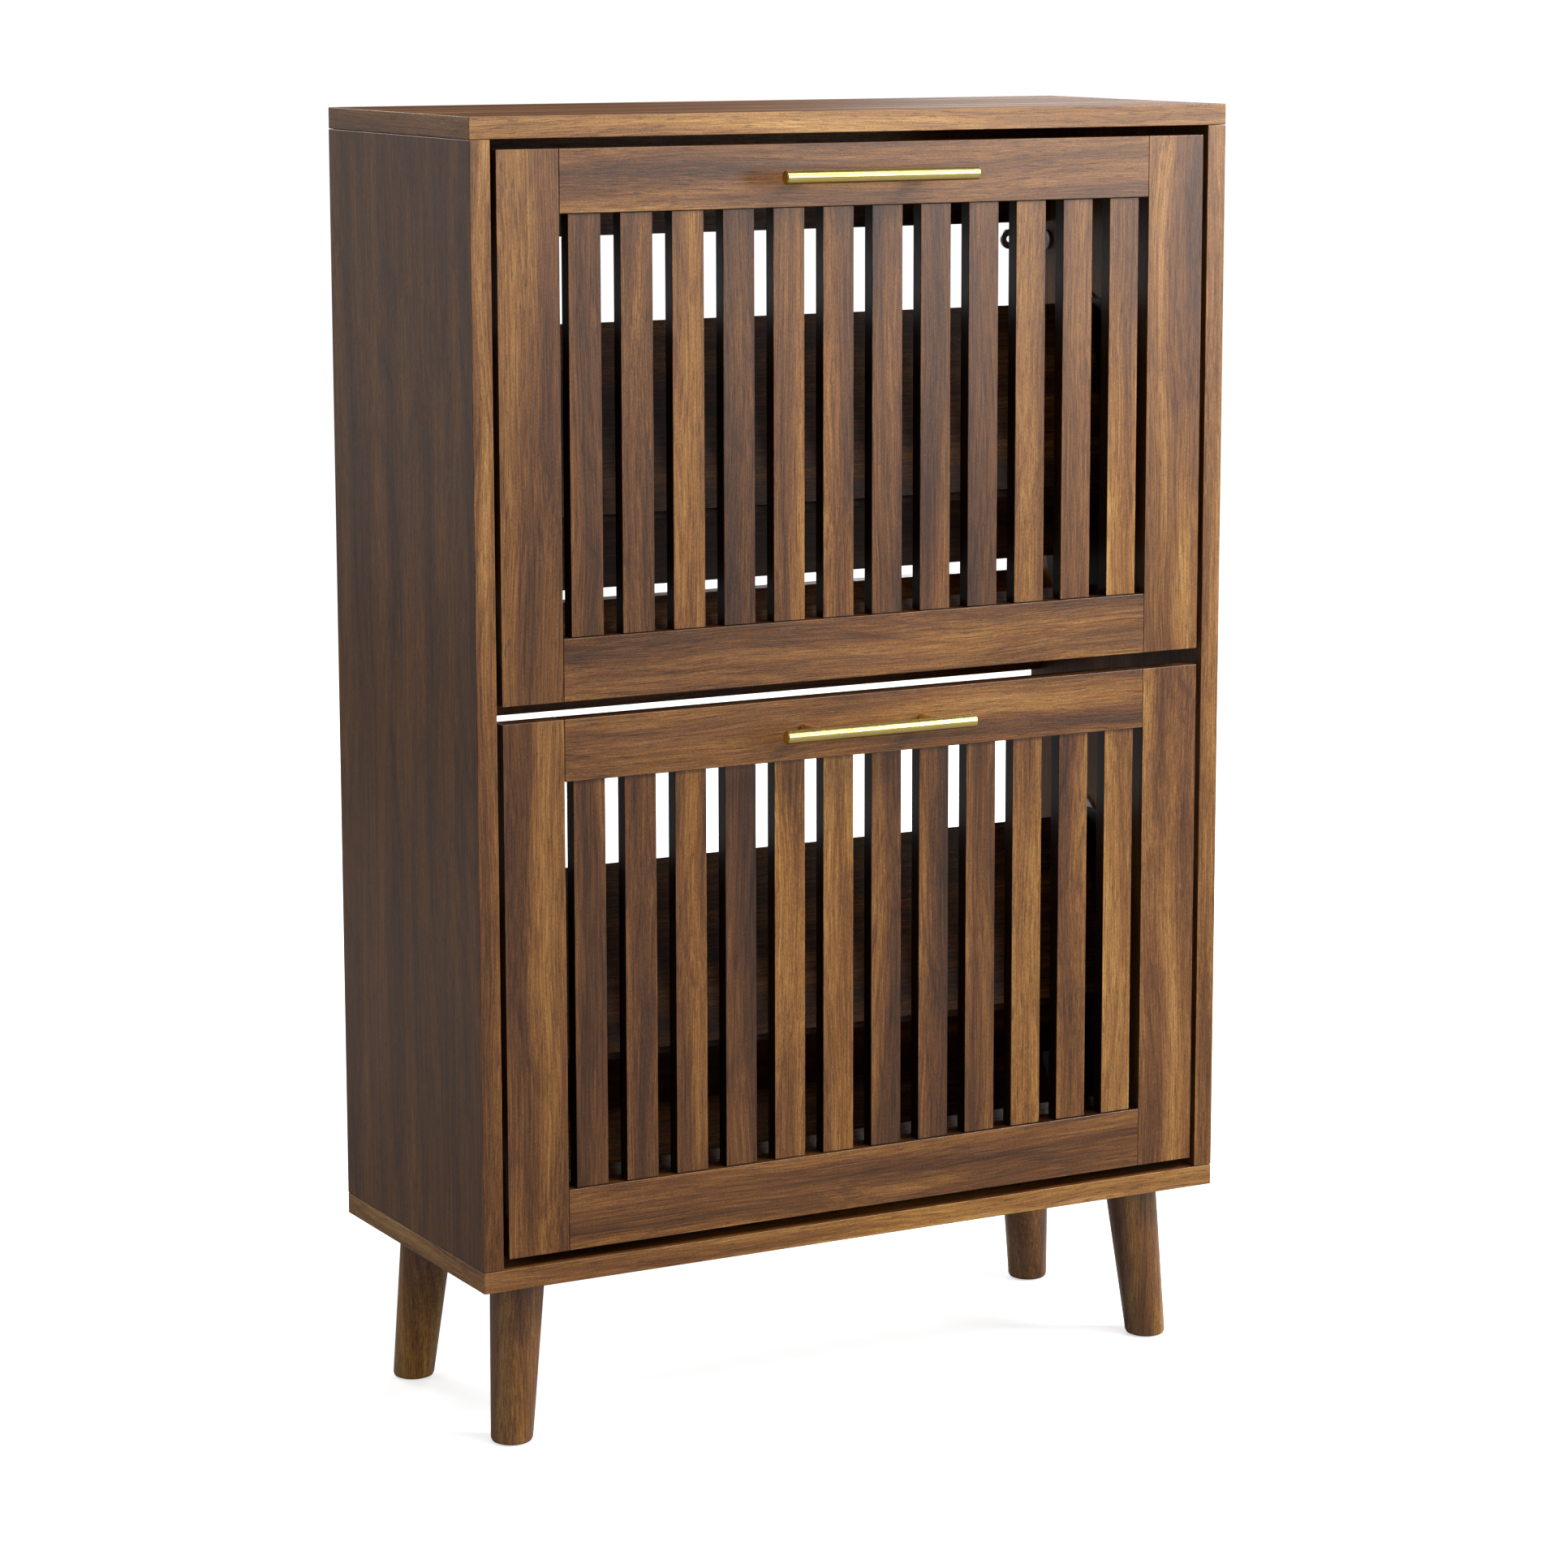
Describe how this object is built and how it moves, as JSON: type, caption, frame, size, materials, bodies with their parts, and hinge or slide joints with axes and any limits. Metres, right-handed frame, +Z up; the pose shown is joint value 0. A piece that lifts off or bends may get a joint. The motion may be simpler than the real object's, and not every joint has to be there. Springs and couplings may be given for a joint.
{
  "type": "shoe cabinet",
  "caption": "Slim walnut-finish shoe cabinet with stacked slatted flip-down drawers, brass bar handles and splayed round legs.",
  "frame": {"origin": "on the floor, under the middle of the outer box, which runs from the handles' fronts to the open back", "axes": "+Z up, the doors face -Y, +X to the right of a person who faces the doors"},
  "size_m": [0.6, 0.2704, 0.9265],
  "materials": {
    "walnut_board": "walnut-grain laminate, satin",
    "walnut_leg": "stained turned wood, satin lacquer",
    "brass_bar": "satin gold",
    "black_plastic": "fine matte texture",
    "zinc_steel": "bright zinc plate"
  },
  "bodies": {
    "carcass": {"top_panel": "walnut_board", "bottom_panel": "walnut_board", "side_panel_left": "walnut_board", "side_panel_right": "walnut_board", "back_rail_bottom": "walnut_board", "back_rail_middle": "walnut_board", "back_rail_top": "walnut_board", "leg_front_left": "walnut_leg", "leg_front_right": "walnut_leg", "leg_rear_left": "walnut_leg", "leg_rear_right": "walnut_leg", "upper_hinge_bracket_left": "zinc_steel", "upper_hinge_bracket_right": "zinc_steel", "lower_hinge_bracket_left": "zinc_steel", "lower_hinge_bracket_right": "zinc_steel", "wall_bracket": "zinc_steel"},
    "upper_drawer": {"upper_stile_left": "walnut_board", "upper_stile_right": "walnut_board", "upper_rail_bottom": "walnut_board", "upper_rail_top": "walnut_board", "upper_slat_01": "walnut_board", "upper_slat_02": "walnut_board", "upper_slat_03": "walnut_board", "upper_slat_04": "walnut_board", "upper_slat_05": "walnut_board", "upper_slat_06": "walnut_board", "upper_slat_07": "walnut_board", "upper_slat_08": "walnut_board", "upper_slat_09": "walnut_board", "upper_slat_10": "walnut_board", "upper_slat_11": "walnut_board", "upper_slat_12": "walnut_board", "upper_handle": "brass_bar", "upper_side_plate_left": "black_plastic", "upper_side_plate_right": "black_plastic", "upper_divider": "walnut_board", "upper_rear_shelf": "walnut_board", "upper_front_shelf": "walnut_board"},
    "lower_drawer": {"lower_stile_left": "walnut_board", "lower_stile_right": "walnut_board", "lower_rail_bottom": "walnut_board", "lower_rail_top": "walnut_board", "lower_slat_01": "walnut_board", "lower_slat_02": "walnut_board", "lower_slat_03": "walnut_board", "lower_slat_04": "walnut_board", "lower_slat_05": "walnut_board", "lower_slat_06": "walnut_board", "lower_slat_07": "walnut_board", "lower_slat_08": "walnut_board", "lower_slat_09": "walnut_board", "lower_slat_10": "walnut_board", "lower_slat_11": "walnut_board", "lower_slat_12": "walnut_board", "lower_handle": "brass_bar", "lower_side_plate_left": "black_plastic", "lower_side_plate_right": "black_plastic", "lower_divider": "walnut_board", "lower_rear_shelf": "walnut_board", "lower_front_shelf": "walnut_board"}
  },
  "joints": [
    {"name": "upper_drawer_flip", "type": "hinge", "parent": "carcass", "child": "upper_drawer", "pos_m": [0, -0.08285, 0.5695], "axis": [1, 0, 0], "range_deg": [0, 48]},
    {"name": "lower_drawer_flip", "type": "hinge", "parent": "carcass", "child": "lower_drawer", "pos_m": [0, -0.08285, 0.1825], "axis": [1, 0, 0], "range_deg": [0, 48]}
  ]
}
